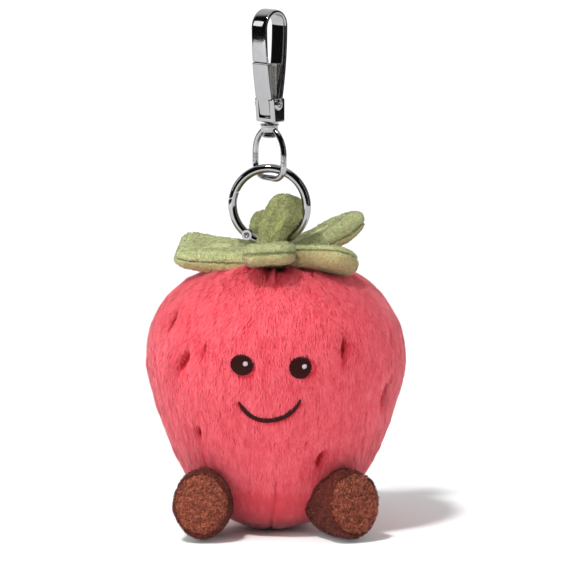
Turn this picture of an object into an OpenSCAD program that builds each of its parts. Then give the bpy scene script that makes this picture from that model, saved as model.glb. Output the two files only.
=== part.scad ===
// Plush strawberry keychain: a stuffed fruit hung from a hinged gate ring
// and a swivel snap hook. Millimetres, +Z up. The origin is the inside top
// of the hook's bow, where the keychain hangs, and the face looks along -Y.

/* [Snap hook] */
// Outer width of the hook across its bow
hook_w = 12.6; // [12:0.1:13.4]
// Width of the flat band that the hook is made from
band_w = 6.6; // [6:0.1:7.2]
// Thickness of that band
band_t = 1.7; // [1.5:0.05:1.8]
// Height where the bow's tip meets the gate
tip_z = -16.3; // [-18:0.1:-16]
// Height of the top of the hinge housing
housing_top = -29.5; // [-30:0.1:-29]
// Height of the foot of the hinge housing
housing_foot = -38; // [-38.2:0.1:-37.8]
// Width of the housing along the rivet
housing_w = 8.6; // [8.4:0.1:9]
// Angle that the hook's flat is turned from the front
hook_yaw = 50; // [40:1:60]

/* [Swivel] */
// Diameter of the loop's wire
loop_wire = 2.2; // [2:0.1:2.2]
// Width of the loop between its wire's centre lines
loop_w = 14.4; // [14.2:0.1:15]
// Height of the loop between its wire's centre lines
loop_h = 17.6; // [17.4:0.1:17.8]
// Angle that the loop is turned, right side forward
loop_yaw = 47; // [45:1:52]

/* [Gate ring] */
// Outer diameter of the ring
ring_od = 29.4; // [29.2:0.1:29.6]
// Diameter of the ring's wire
ring_wire = 3.15; // [3:0.05:3.2]
// Angle round the ring of the gate's nose
nose_angle = 162; // [158:1:166]
// Angle round the ring of the gate's hinge
hinge_angle = 233; // [230:1:236]
// Angle that the ring is turned, right side forward
ring_yaw = 10; // [8:1:12]

/* [Fruit] */
// Width of the fruit at its widest
fruit_w = 91; // [89:0.5:93]
// Depth of the fruit as a share of its width
fruit_depth = 0.9; // [0.88:0.01:0.94]
// Height of the widest level
widest_z = -121.5; // [-123:0.5:-120]
// Height of the shoulder's top
shoulder_z = -86.5; // [-87:0.1:-86]
// Height of the base
base_z = -181.6; // [-183:0.1:-181]
// Thickness of the plush fabric with its pile
pile_t = 3.2; // [2.5:0.1:4]
// Height of the eyes
eye_z = -118.5; // [-121:0.5:-116]
// Diameter of an eye
eye_d = 7.6; // [6.5:0.1:8]
// Distance between the eyes' centres
eye_gap = 20.4; // [18:0.1:22]

/* [Feet] */
// Radius of a foot
foot_r = 11; // [10:0.1:11.5]
// Thickness of the foot's fabric
foot_skin = 1.2; // [1:0.1:1.5]
// Length of a foot from its root inside the fruit to its sole
foot_l = 20; // [18:0.5:22]

/* [Leaves] */
// Thickness of a stuffed leaf
leaf_t = 7.6; // [7:0.1:8]
// Thickness of the leaf fabric
leaf_skin = 1; // [0.8:0.1:1.2]
// Radius of the middle of the leaf cap
cap_r = 12; // [11:0.5:13]

/* [Hidden] */
$fn = 64;
fit = 0.05;      // radial clearance of a running fit
slack = 0.1;     // clearance between moving faces
seat = 0.02;     // gap between pieces sewn or pressed together

// Hook, in its own plane: x runs from the gate to the spine, y is height.
hook_r = hook_w / 2;
bow_z = band_t - hook_r;
side_r = 124;
rivet = [-0.5, -31.5];
rivet_r = 1;
slot_w = 5.2;
slot_foot = -36.5;
housing_front = [-3.25, -2.4];
housing_back = 3.4;
gate_top = tip_z - 0.42;
gate_lip = tip_z + 1.4;
gate_w = 7;
tongue_w = slot_w - 2 * slack;
tongue_r = 2.3;
slot_back = 2;
tongue_foot = -35.4;

// Swivel
stud_r = 1.2;
boss_r = 3;
boss = [-41.8, -38.4];
loop_foot = -57.8;
loop_z = loop_foot + loop_h / 2;
loop_half = loop_w / 2;
loop_corner = 4.5;
// The loop's top is an oval of three arcs, set out on a 3-4-5 triangle of this unit
loop_unit = (loop_h - loop_w) / 4;

// Gate ring, in its own plane
ring_r = (ring_od - ring_wire) / 2;
wire_r = ring_wire / 2;
ring_rest = 0.75;
ring_z = loop_foot + loop_wire / 2 + wire_r + ring_rest - ring_r;
hinge_at = ring_r * [cos(hinge_angle), sin(hinge_angle)];
lap_angle = 7;
nose_inner = 2 * ring_r * sin((hinge_angle - nose_angle) / 2);
nose_outer = 2 * ring_r * sin((hinge_angle - nose_angle - lap_angle) / 2);
nose_gap = 0.22;
knuckle_r = 1.8;
knuckle_w = 3.4;
ring_slot = 1.3;
ring_tongue = ring_slot - 2 * fit;
ring_tongue_r = knuckle_r - 0.15;
pin_r = 0.5;
bore_r = 0.7;
bore_from = 1.7;
bore_to = 7.4;
bore_turn = 16;
plunger_from = ring_tongue_r + 0.07;
plunger_to = 3;
spring_turns = 6;
spring_wire = 0.3;

// Fruit
fruit_x = 2;
fruit_y = 1;
fruit_r = fruit_w / 2;
face_yaw = -2.5;

// Hanging tape round the ring's lowest point
tape_w = 6;
tape_t = 0.7;
tape_r = 2.25;
tape_z = ring_z - ring_r;
tape_foot = -92;

// Leaves: angle, length, width, rise, roll, height of the middle at the cap
cap_z = -86.2;
leaves = [
    [186, 34, 22, 3, -6, cap_z],
    [266, 25, 19, 11, 0, cap_z],
    [-27, 33, 19, 0, 10, cap_z],
    [37, 38, 19, 13, 0, cap_z],
    [100, 25, 12, 42, 0, cap_z + 1],
];
stem_at = [-1.2, -11.9, -84];
stem_size = [12, 24, 5];
stem_turn = [-24, 18, 6];

// Feet, left then right: middle of the sole, and the turn from straight ahead
feet = [
    [-24, -32, -10],
    [30, -31, 36],
];
foot_rise = 9;
seat_z = base_z - 0.2;
foot_z = seat_z + foot_r - 0.5;
sole_r = 8.6;
sole_t = 1.4;

// Seeds: angle round from the front, and height
seeds = [
    [-60, -104.3], [-45, -116.8], [-34, -113.3], [-40, -143.3],
    [32, -111.8], [61, -130.6], [25, -151.9],
    [100, -108], [128, -135], [160, -112], [178, -150],
    [-162, -128], [-130, -106], [-104, -137],
];

// ---- shared shapes ----

module in_hook() {
    rotate([0, 0, hook_yaw]) children();
}

module in_loop() {
    rotate([0, 0, -loop_yaw]) children();
}

module in_ring() {
    translate([0, 0, ring_z]) rotate([0, 0, -ring_yaw]) children();
}

// Stands a flat outline up, with its own y as height, and gives it a thickness
module upright(t) {
    rotate([90, 0, 0]) linear_extrude(height = t, center = true) children();
}

// A cylinder lying along y at a place in the upright plane
module cross_pin(at, r, l) {
    translate([at[0], 0, at[1]]) rotate([90, 0, 0]) cylinder(h = l, r = r, center = true);
}

// ---- snap hook ----

module hook_outline(inset) {
    r = hook_r - inset;
    translate([0, bow_z]) circle(r, $fn = 96);
    intersection() {
        translate([side_r - hook_r, bow_z]) circle(side_r - inset, $fn = 720);
        translate([hook_r - side_r, bow_z]) circle(side_r - inset, $fn = 720);
        translate([-hook_w, housing_foot]) square([2 * hook_w, bow_z - housing_foot]);
    }
}

module hook_band() {
    difference() {
        hook_outline(0);
        hook_outline(band_t);
    }
}

module hook_frame() {
    color("dimgray") in_hook() difference() {
        union() {
            difference() {
                upright(band_w) difference() {
                    hook_band();
                    translate([-hook_w, housing_foot - 1]) square([hook_w - 1, tip_z - housing_foot + 1]);
                    translate([-hook_w, housing_foot - 1]) square([2 * hook_w, housing_top - housing_foot - 1]);
                }
                // step inside the bow's tip that stops the gate
                upright(band_w + 1) translate([tip_inside(), tip_z - 1])
                    square([band_t + 1, gate_lip + 1 + 3 * slack - tip_z]);
            }
            upright(housing_w) polygon([
                [front_x(housing_top), housing_top],
                [housing_back, housing_top],
                [housing_back, housing_foot],
                [front_x(housing_foot), housing_foot],
            ]);
        }
        // slot for the gate's tongue
        upright(slot_w) translate([-hook_r, slot_foot])
            square([slot_back + hook_r, housing_top - slot_foot + 1]);
        cross_pin(rivet, rivet_r + seat, housing_w + 1);
        translate([0, 0, housing_foot - 1]) cylinder(h = 4, r = stud_r + seat);
    }
}

// Front of the housing, which leans in like the band above it
function front_x(z) =
    housing_front[0] + (housing_front[1] - housing_front[0]) * (housing_top - z) / (housing_top - housing_foot);

// Half of the band's thickness at the tip, where the lap's step stands
function side_x(z) = -hook_r + (z - bow_z) * (z - bow_z) / (2 * side_r);
function tip_inside() = side_x(tip_z) + band_t / 2;

module gate_outline() {
    intersection() {
        hook_outline(0);
        polygon([
            [-hook_w, gate_top],
            [tip_inside() + slack, gate_top],
            [tip_inside() + slack, gate_lip],
            [side_x(tip_z) + band_t + 0.2, gate_lip],
            [side_x(housing_top) + band_t + 0.6, housing_top + 0.2],
            [-hook_w, housing_top + 0.2],
        ]);
    }
}

module hook_gate() {
    color("silver") in_hook() difference() {
        union() {
            upright(gate_w) gate_outline();
            upright(tongue_w) intersection() {
                union() {
                    polygon([
                        [front_x(housing_top + 1), housing_top + 1],
                        [rivet[0], housing_top + 1],
                        [rivet[0], tongue_foot],
                        [front_x(tongue_foot), tongue_foot],
                    ]);
                    translate(rivet) circle(tongue_r);
                }
                translate([-hook_r, tongue_foot - 3]) square([20, 40]);
            }
        }
        cross_pin(rivet, rivet_r + fit, housing_w);
        // clears the housing's corners when the gate swings in
        for (s = [-1, 1])
            translate([0, s * (tongue_w / 2 + 2), 0])
                upright(4) translate([-1, housing_top - 9.9]) square([9, 10]);
    }
}

module hook_rivet() {
    head = [0.7, 2.1];
    color("gray") in_hook() {
        cross_pin(rivet, rivet_r, housing_w + 0.2);
        for (s = [-1, 1])
            translate([0, s * (housing_w + head[0] + 0.04) / 2, 0]) cross_pin(rivet, head[1], head[0]);
    }
}

// Leaf spring up the inside of the spine, down to the gate's heel
module hook_spring() {
    t = 0.4;
    levels = [-17.6, -20, -23, -26, housing_top, housing_top - 0.5];
    function back(z) = min(-side_x(z) - band_t - seat, slot_back - seat);
    color("dimgray") in_hook() upright(3.6) polygon(concat(
        [for (z = levels) [back(z), z]],
        [for (i = [len(levels) - 1 : -1 : 0]) [back(levels[i]) - t, levels[i]]]
    ));
}

// ---- swivel ----

module swivel_stud() {
    color("silver") {
        translate([0, 0, slot_foot + seat]) cylinder(h = 0.7, r = 1.9);
        translate([0, 0, -43]) cylinder(h = 43 + slot_foot + 0.5, r = stud_r);
        translate([0, 0, -43.6]) cylinder(h = 1.6, r1 = 2.5, r2 = 2.2);
    }
}

module loop_arc(at, r, from, to) {
    translate([at[0], 0, at[1]]) rotate([90, 0, 0]) rotate([0, 0, from])
        rotate_extrude(angle = to - from) translate([r, 0]) circle(loop_wire / 2);
}

module loop_bar(from, to) {
    run = to - from;
    translate([from[0], 0, from[1]]) rotate([0, atan2(run[0], run[1]), 0])
        cylinder(h = norm(run), r = loop_wire / 2);
}

module swivel_loop() {
    side_c = 3 * loop_unit;
    side_angle = atan2(4, 3);
    corner_x = loop_half - loop_corner;
    corner_z = loop_foot + loop_corner;
    color("silver") in_loop() difference() {
        union() {
            loop_arc([0, loop_z + 4 * loop_unit], loop_half - 2 * loop_unit, side_angle, 180 - side_angle);
            loop_arc([-side_c, loop_z], loop_half + side_c, 0, side_angle);
            loop_arc([side_c, loop_z], loop_half + side_c, 180 - side_angle, 180);
            for (s = [-1, 1]) loop_bar([s * loop_half, corner_z], [s * loop_half, loop_z]);
            loop_arc([-corner_x, corner_z], loop_corner, 180, 270);
            loop_arc([corner_x, corner_z], loop_corner, 270, 360);
            loop_bar([-corner_x, loop_foot], [corner_x, loop_foot]);
            translate([0, 0, boss[0]]) cylinder(h = boss[1] - boss[0], r = boss_r);
        }
        translate([0, 0, boss[0] - 3]) cylinder(h = 3, r = boss_r);
        translate([0, 0, boss[0] - 1]) cylinder(h = 6, r = stud_r + fit);
        translate([0, 0, boss[1]]) cylinder(h = 3, r = boss_r + 3);
    }
}

// ---- gate ring ----

module ring_arc(from, to) {
    rotate([90, 0, 0]) rotate([0, 0, from])
        rotate_extrude(angle = to - from) translate([ring_r, 0]) circle(wire_r);
}

// Everything within r of the gate's hinge
module hinge_reach(r, l = 8) {
    cross_pin(hinge_at, r, l);
}

// A block round the nose that leaves the rest of the ring alone
module nose_side() {
    translate([-ring_r, 0, 0]) cube([2 * ring_r - 2, 9, ring_r * 1.2], center = true);
}

module ring_body() {
    color("dimgray") in_ring() difference() {
        union() {
            difference() {
                ring_arc(hinge_angle, 360 + nose_angle + lap_angle + 3);
                // nose: the outer half of the wire runs on past the gate's lip
                intersection() {
                    nose_side();
                    hinge_reach(nose_inner + nose_gap);
                    cross_pin([0, 0], ring_r, 9);
                }
                intersection() {
                    nose_side();
                    hinge_reach(nose_outer + nose_gap);
                }
                hinge_reach(knuckle_r + slack);
            }
            upright(ring_tongue) intersection() {
                union() {
                    translate(hinge_at) circle(ring_tongue_r);
                    translate(hinge_at) rotate(hinge_angle + 94)
                        translate([0, -wire_r * 0.8]) square([2.6, wire_r * 1.6]);
                }
                circle(ring_r + wire_r, $fn = 180);
            }
        }
        hinge_reach(pin_r + seat);
    }
}

module ring_gate() {
    color("silver") in_ring() difference() {
        union() {
            intersection() {
                ring_arc(nose_angle - 3, hinge_angle);
                union() {
                    hinge_reach(nose_outer);
                    intersection() {
                        hinge_reach(nose_inner);
                        cross_pin([0, 0], ring_r - nose_gap, 9);
                    }
                }
            }
            cross_pin(hinge_at, knuckle_r, knuckle_w);
        }
        hinge_reach(knuckle_r + slack, ring_slot);
        hinge_reach(pin_r + fit);
        gate_bore(bore_r, bore_from, bore_to);
    }
}

// Puts z along the chord of the gate that leaves its hinge
module in_gate_bore() {
    translate([hinge_at[0], 0, hinge_at[1]]) rotate([0, 180 - hinge_angle + bore_turn, 0]) children();
}

// A rod along that chord
module gate_bore(r, from, to) {
    in_gate_bore() translate([0, 0, from]) cylinder(h = to - from, r = r, $fn = 32);
}

module ring_pin() {
    color("gray") in_ring() {
        cross_pin(hinge_at, pin_r, knuckle_w + 0.2);
        for (s = [-1, 1])
            translate([0, s * (knuckle_w + 0.44) / 2, 0]) cross_pin(hinge_at, 1, 0.4);
    }
}

module ring_plunger() {
    color("gray") in_ring() gate_bore(bore_r - fit, plunger_from, plunger_to);
}

// Coil spring behind the plunger, swept as a tube round a helix
module ring_spring() {
    sides = 6;
    per_turn = 14;
    from = plunger_to + seat + spring_wire / 2;
    to = bore_to - seat - spring_wire / 2;
    coil_r = bore_r - 0.06 - spring_wire / 2;
    steps = spring_turns * per_turn;
    points = [
        for (i = [0 : steps], j = [0 : sides - 1])
            let (a = 360 * i / per_turn, b = 360 * j / sides, r = coil_r + cos(b) * spring_wire / 2)
            [r * cos(a), r * sin(a), from + (to - from) * i / steps + sin(b) * spring_wire / 2]
    ];
    walls = [
        for (i = [0 : steps - 1], j = [0 : sides - 1])
            let (k = i * sides, n = (j + 1) % sides)
            each [[k + j, k + n, k + sides + n], [k + j, k + sides + n, k + sides + j]]
    ];
    ends = [
        [for (j = [sides - 1 : -1 : 0]) j],
        [for (j = [0 : sides - 1]) steps * sides + j],
    ];
    color("gray") in_ring() in_gate_bore() polyhedron(points, concat(walls, ends));
}

// ---- fruit ----

// Outline radius at a share of the way from the widest level to the top or base
function upper_r(t) = fruit_r * pow(1 - pow(t, 2.25), 1 / 2.25);
function lower_r(t) = fruit_r * pow(1 - pow(t, 1.4), 0.43);
top_shares = [0.98, 0.95, 0.9, 0.84, 0.76, 0.65, 0.5, 0.32, 0.14];
low_shares = [0, 0.14, 0.28, 0.42, 0.56, 0.68, 0.78, 0.86, 0.92, 0.96, 0.985];

// Half outline, with a dimple at the top, moved in by inset
function fruit_points(inset) = concat(
    [[0, shoulder_z - 2.6 - inset], [fruit_r * 0.12, shoulder_z - 1.6 - inset]],
    [for (t = top_shares)
        [upper_r(t) - inset * (1 - t * t), widest_z + (shoulder_z - widest_z) * t - inset * t * t]],
    [for (t = low_shares)
        [lower_r(t) - inset * (1 - t * t * t), widest_z + (base_z - widest_z) * t + inset * t * t * t]],
    [[0, base_z + inset]]
);

module in_fruit() {
    translate([fruit_x, fruit_y, 0]) scale([1, fruit_depth, 1]) children();
}

// A slice of the fruit's solid, from one angle to another
module fruit_slice(inset, from, to) {
    in_fruit() rotate([0, 0, from]) rotate_extrude(angle = to - from, $fn = 96)
        polygon(fruit_points(inset));
}

// The whole fruit, in two halves
module fruit_solid(inset) {
    fruit_slice(inset, -90, 90);
    fruit_slice(inset, 90, 270);
}

// A slice of the fruit between two depths, clear of its axis by core
module fruit_layer(outer, inner, core, from, to) {
    in_fruit() rotate([0, 0, from]) rotate_extrude(angle = to - from, $fn = 96)
        difference() {
            polygon(fruit_points(outer));
            polygon(fruit_points(inner));
            translate([-1, -200]) square([1 + core, 300]);
        }
}

module fruit_panel(from, to) {
    fruit_layer(0, pile_t, 0.02, from, to);
}

front_span = 130;
module body_front_panel() {
    color("salmon") fruit_panel(-90 - front_span / 2 + 0.05, -90 + front_span / 2 - 0.05);
}

module body_back_left_panel() {
    color("lightcoral") fruit_panel(90.05, 270 - front_span / 2 - 0.05);
}

module body_back_right_panel() {
    color("indianred") fruit_panel(-90 + front_span / 2 + 0.05, 89.95);
}

module body_stuffing() {
    color("ivory") for (from = [0.1, 180.1])
        in_fruit() rotate([0, 0, from]) rotate_extrude(angle = 179.8, $fn = 96)
            difference() {
                polygon(fruit_points(pile_t + 0.3));
                translate([-1, -200]) square([1.3, 300]);
            }
}

// ---- face and seeds, raised a little from the pile ----

module on_face(x, z) {
    translate([fruit_x, fruit_y, 0]) rotate([0, 0, face_yaw]) translate([x, -fruit_r, z])
        rotate([90, 0, 0]) children();
}

module trim(t) {
    difference() {
        intersection() {
            children();
            fruit_solid(-t);
        }
        fruit_solid(-seat);
    }
}

module eye(side) {
    color("black") trim(0.9) on_face(side * eye_gap / 2, eye_z)
        cylinder(h = 60, r = eye_d / 2, center = true);
}

module glint(side) {
    color("lavender") difference() {
        intersection() {
            on_face(side * eye_gap / 2 + 1.2, eye_z + 0.3) cylinder(h = 60, r = 1, center = true);
            fruit_slice(-1.3, 180, 360);
        }
        fruit_slice(-0.9 - seat, 180, 360);
    }
}

module mouth() {
    smile_r = 11.6;
    spread = 136;
    color("saddlebrown") trim(0.8) on_face(0, -126.2)
        linear_extrude(height = 60, center = true)
            intersection() {
                difference() {
                    circle(smile_r);
                    circle(smile_r - 1.3);
                }
                translate([-20, -40]) square([40, 40 - smile_r * cos(spread / 2)]);
            }
}

module seed_stitches() {
    color("firebrick") for (s = seeds)
        difference() {
            intersection() {
                in_fruit() translate([0, 0, s[1]]) rotate([0, 0, s[0]]) rotate([90, 0, 0])
                    cylinder(h = 60, r = 1.7, $fn = 32);
                fruit_slice(-0.5, s[0] - 100, s[0] - 80);
            }
            fruit_slice(-seat, s[0] - 105, s[0] - 75);
        }
}

// ---- feet ----

// Puts a foot's own z axis from its root inside the fruit to its sole
module in_foot(side) {
    foot = feet[side];
    back = foot_l * cos(foot_rise);
    translate([foot[0] - back * sin(foot[2]), foot[1] + back * cos(foot[2]), foot_z])
        rotate([0, 0, foot[2]]) rotate([-foot_rise, 0, 0]) rotate([90, 0, 0]) children();
}

// A stub with a round back end and a rounded rim
module foot_stub(inset) {
    r = foot_r - inset;
    l = foot_l - inset;
    rim = 4.5 - inset;
    rotate_extrude() {
        square([r, l - rim]);
        square([r - rim, l]);
        intersection() {
            translate([r - rim, l - rim]) circle(rim);
            square([r, l]);
        }
        intersection() {
            circle(r);
            translate([0, -r]) square([r, 2 * r]);
        }
    }
}

module foot_sleeve(side) {
    color("saddlebrown") difference() {
        in_foot(side) difference() {
            foot_stub(0);
            foot_stub(foot_skin);
            translate([0, 0, foot_l - sole_t]) cylinder(h = 5, r = sole_r);
        }
        fruit_solid(-seat);
        // flat where the foot sits down
        translate([-100, -100, seat_z - 10]) cube([200, 200, 10]);
    }
}

module foot_sole(side) {
    color("sienna") in_foot(side)
        translate([0, 0, foot_l - foot_skin + seat])
            cylinder(h = foot_skin - seat, r = sole_r - seat);
}

module foot_stuffing(side) {
    color("ivory") difference() {
        in_foot(side) foot_stub(foot_skin + seat);
        fruit_solid(-seat);
    }
}

// ---- leaf cap, stem and hanging tape ----

module leaf_shape(l, w, inset) {
    r = w * 0.36 - inset;
    tip = w / 2 - inset;
    translate([0, -tip + w * 0.06]) square([l - inset - r, 2 * tip - w * 0.12]);
    translate([0, -tip + r]) square([l - inset, 2 * (tip - r)]);
    for (s = [-1, 1])
        translate([l - inset - r, s * (tip - r)]) circle(r);
}

// One layer of every leaf and of the cap's middle, side 1 above the seam, -1 below
module cap_layer(side, inset) {
    t = leaf_t / 2 - inset;
    z = side > 0 ? 0 : -t;
    for (leaf = leaves)
        translate([fruit_x - 1, 0, leaf[5]]) rotate([0, 0, leaf[0]])
            translate([6, 0, 0]) rotate([0, -leaf[3], 0]) rotate([leaf[4], 0, 0])
                translate([0, 0, z]) linear_extrude(height = t)
                    leaf_shape(leaf[1] - 6, leaf[2], inset);
    translate([fruit_x - 1, 0, cap_z - 1.6 + z * 0.6]) cylinder(h = t * 0.6, r = cap_r - inset);
}

module cap_cuts() {
    fruit_solid(-seat);
    in_tape(0.06);
    ring_room();
    stem_place() stem_slab(-seat);
}

module ring_room() {
    in_ring() translate([0, 0, -ring_r]) rotate([0, 90, 0])
        cylinder(h = 16, r = 3.4, center = true);
}

module calyx_top() {
    color("yellowgreen") difference() {
        cap_layer(1, 0);
        cap_layer(1, leaf_skin);
        cap_layer(-1, leaf_skin);
        cap_cuts();
    }
}

module calyx_underside() {
    color("olivedrab") difference() {
        cap_layer(-1, 0);
        cap_layer(1, 0);
        cap_layer(-1, leaf_skin);
        cap_cuts();
    }
}

module calyx_stuffing() {
    color("ivory") difference() {
        union() {
            cap_layer(1, leaf_skin + seat);
            cap_layer(-1, leaf_skin + seat);
        }
        cap_cuts();
    }
}

module stem_place() {
    translate(stem_at) rotate([0, 0, stem_turn[2]]) rotate([stem_turn[0], stem_turn[1], 0]) children();
}

module stem_slab(inset) {
    w = stem_size[0] - 2 * inset;
    rotate([90, 0, 0]) linear_extrude(height = stem_size[2] - 2 * inset, center = true) {
        translate([-w / 2, inset]) square([w, stem_size[1] - w / 2 - inset]);
        translate([0, stem_size[1] - w / 2 - inset]) circle(w / 2);
    }
}

module stem_cover() {
    color("olive") difference() {
        stem_place() difference() {
            stem_slab(0);
            stem_slab(leaf_skin);
        }
        fruit_solid(-seat);
        in_tape(0.06);
    }
}

module stem_stuffing() {
    color("ivory") stem_place() stem_slab(leaf_skin + seat);
}

// The tape's eye runs round the ring's wire, and its two legs go down to the fruit
module in_tape(grow) {
    translate([0, 0, tape_z]) rotate([0, 0, -ring_yaw]) {
        rotate([0, 90, 0]) cylinder(h = tape_w + 2 * grow, r = tape_r + tape_t + grow, center = true);
        translate([-tape_w / 2 - grow, -tape_t - grow, tape_foot - tape_z])
            cube([tape_w + 2 * grow, 2 * (tape_t + grow), tape_z - tape_foot - tape_r]);
    }
}

module hang_loop() {
    color("firebrick") difference() {
        in_tape(0);
        in_ring() translate([0, 0, -ring_r]) rotate([0, 90, 0])
            cylinder(h = tape_w + 1, r = tape_r, center = true);
        fruit_solid(-seat);
    }
}

module foot_left_sleeve() { foot_sleeve(0); }
module foot_left_sole() { foot_sole(0); }
module foot_left_stuffing() { foot_stuffing(0); }
module foot_right_sleeve() { foot_sleeve(1); }
module foot_right_sole() { foot_sole(1); }
module foot_right_stuffing() { foot_stuffing(1); }
module eye_left() { eye(-1); }
module eye_right() { eye(1); }
module eye_glint_left() { glint(-1); }
module eye_glint_right() { glint(1); }

hook_frame();
hook_gate();
hook_rivet();
hook_spring();
swivel_stud();
swivel_loop();
ring_body();
ring_gate();
ring_pin();
ring_plunger();
ring_spring();
hang_loop();
calyx_top();
calyx_underside();
calyx_stuffing();
stem_cover();
stem_stuffing();
body_front_panel();
body_back_left_panel();
body_back_right_panel();
body_stuffing();
foot_left_sleeve();
foot_left_sole();
foot_left_stuffing();
foot_right_sleeve();
foot_right_sole();
foot_right_stuffing();
eye_left();
eye_right();
eye_glint_left();
eye_glint_right();
mouth();
seed_stitches();
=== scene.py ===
"""Plush strawberry keychain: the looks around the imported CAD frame. Lengths are millimetres until build()."""

from math import atan2, cos, degrees, pi, radians, sin, sqrt

import bmesh
import bpy
import numpy as np
from mathutils import Matrix, Vector


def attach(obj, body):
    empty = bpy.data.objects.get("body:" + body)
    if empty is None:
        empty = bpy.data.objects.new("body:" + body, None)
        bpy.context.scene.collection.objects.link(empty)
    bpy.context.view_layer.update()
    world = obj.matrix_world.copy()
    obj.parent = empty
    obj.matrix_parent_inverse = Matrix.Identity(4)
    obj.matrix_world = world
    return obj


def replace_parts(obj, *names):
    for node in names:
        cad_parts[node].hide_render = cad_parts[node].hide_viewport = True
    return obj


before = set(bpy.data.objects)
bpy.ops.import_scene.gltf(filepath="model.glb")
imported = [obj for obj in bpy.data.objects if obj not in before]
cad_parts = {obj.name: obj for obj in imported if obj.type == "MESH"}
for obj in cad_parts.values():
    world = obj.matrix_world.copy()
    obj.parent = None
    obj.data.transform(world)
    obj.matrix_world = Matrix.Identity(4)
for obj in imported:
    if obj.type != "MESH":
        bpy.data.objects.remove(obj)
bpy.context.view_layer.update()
MM = 0.001
rng = np.random.default_rng(11)

# ---- numbers shared with the CAD model

FRUIT_R, FRUIT_DEPTH, FRUIT_X, FRUIT_Y = 45.5, 0.9, 2.15, 1.0
WIDEST_Z, SHOULDER_Z, BASE_Z = -121.5, -86.5, -181.6
SEAT_Z = -181.8
FACE_YAW = radians(-2.5)
EYE_Z, EYE_GAP = -118.5, 20.4
RING_Z, RING_R, RING_YAW = -67.5, 13.125, radians(-10)
TAPE_Z = RING_Z - RING_R


# ---- numpy helpers

_perm = rng.permutation(256)
_value = rng.uniform(-1, 1, 256)


def noise(p, scale, seed):
    """Smooth value noise from -1 to 1 at points p in millimetres, with cells of that scale."""
    q = p / scale + seed * 17.31
    cell = np.floor(q).astype(int)
    f = q - cell
    f = f * f * (3 - 2 * f)
    total = 0
    for corner in np.ndindex(2, 2, 2):
        h, w = 0, 1.0
        for axis in range(3):
            h = _perm[(h + cell[..., axis] + corner[axis]) & 255]
            w = w * np.abs(1 - corner[axis] - f[..., axis])
        total = total + w * _value[h]
    return total


def points(*columns):
    """Rows of coordinates from columns, which may be arrays or numbers."""
    return np.stack(np.broadcast_arrays(*columns), -1)


def unit(v):
    return v / np.maximum(np.linalg.norm(v, axis=-1, keepdims=True), 1e-12)


def smooth(a, b, x):
    t = np.clip((x - a) / (b - a), 0, 1)
    return t * t * (3 - 2 * t)


def around(n):
    """n angles of a full turn."""
    return np.linspace(0, 2 * pi, n, endpoint=False)


def arc_length(line):
    """How far along a line each of its points is."""
    return np.concatenate([[0], np.cumsum(np.linalg.norm(np.diff(line, axis=0), axis=1))])


def resample(line, s, q):
    """A line's points at distances q, from its points at distances s."""
    return points(*(np.interp(q, s, column) for column in line.T))


def soften(line, times):
    """Rounds off a line's corners in place. Its ends stay."""
    for _ in range(times):
        line[1:-1] = (line[:-2] + 2 * line[1:-1] + line[2:]) / 4


def power(x, exponent):
    """A power that keeps the sign."""
    return np.sign(x) * np.abs(x) ** exponent


def turned(P, yaw):
    """Turns points about the vertical axis."""
    c, s = cos(yaw), sin(yaw)
    return points(P[..., 0] * c - P[..., 1] * s, P[..., 0] * s + P[..., 1] * c, P[..., 2])


def place(P, m):
    return P @ m[:3, :3].T + m[:3, 3]


def grid_faces(nu, nv, wrap_u=False, wrap_v=False):
    """Quads of a grid of nu by nv points, numbered u * nv + v."""
    u = np.arange(nu if wrap_u else nu - 1)
    v = np.arange(nv if wrap_v else nv - 1)
    a, b = np.meshgrid(u, v, indexing="ij")
    a2, b2 = (a + 1) % nu, (b + 1) % nv
    return points(a * nv + b, a2 * nv + b, a2 * nv + b2, a * nv + b2).reshape(-1, 4)


def closed_grid(P, flip=False):
    """Points and faces of a surface that wraps in u, with its first and last v rows shrunk to points."""
    nu, m = P.shape[0], P.shape[1] - 2
    verts = np.concatenate([P[:, 1:-1].reshape(-1, 3), [P[:, 0].mean(0), P[:, -1].mean(0)]])
    a = np.arange(nu)
    b = (a + 1) % nu
    first = points(nu * m, b * m, a * m)
    last = points(nu * m + 1, a * m + m - 1, b * m + m - 1)
    quads = grid_faces(nu, m, wrap_u=True)
    if flip:
        quads, first, last = quads[:, ::-1], first[:, ::-1], last[:, ::-1]
    return verts, [quads, np.concatenate([first, last])]


def skin(P, ends):
    """Points and faces over a row of rings, closed by two end points or else on itself."""
    n, sides = P.shape[:2]
    verts = P.reshape(-1, 3)
    quads = grid_faces(n, sides, wrap_u=ends is None, wrap_v=True)
    if ends is None:
        return verts, [quads]
    j = np.arange(sides)
    j2 = (j + 1) % sides
    base = (n - 1) * sides
    caps = np.concatenate([points(n * sides, j2, j), points(n * sides + 1, base + j, base + j2)])
    return np.concatenate([verts, ends]), [quads, caps]


def tube(path, radius, sides, up, closed=False):
    """Points and faces of a round tube along a path."""
    t = np.roll(path, -1, 0) - np.roll(path, 1, 0)
    if not closed:
        t[0], t[-1] = path[1] - path[0], path[-1] - path[-2]
    t = unit(t)
    side = unit(np.cross(t, up))
    a = around(sides)[:, None]
    ring = side[:, None] * np.cos(a) + np.cross(side, t)[:, None] * np.sin(a)
    return skin(path[:, None] + ring * radius, None if closed else path[[0, -1]])


def join_parts(parts):
    """Several (verts, faces) as one."""
    verts, quads, tris, base = [], [], [], 0
    for v, fs in parts:
        verts.append(v)
        for f in fs:
            (quads if f.shape[1] == 4 else tris).append(f + base)
        base += len(v)
    return np.concatenate(verts), [np.concatenate(x) for x in (quads, tris) if x]


# ---- objects

def link(name, data):
    """A new object in the scene."""
    o = bpy.data.objects.new(name, data)
    bpy.context.scene.collection.objects.link(o)
    return o


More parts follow.
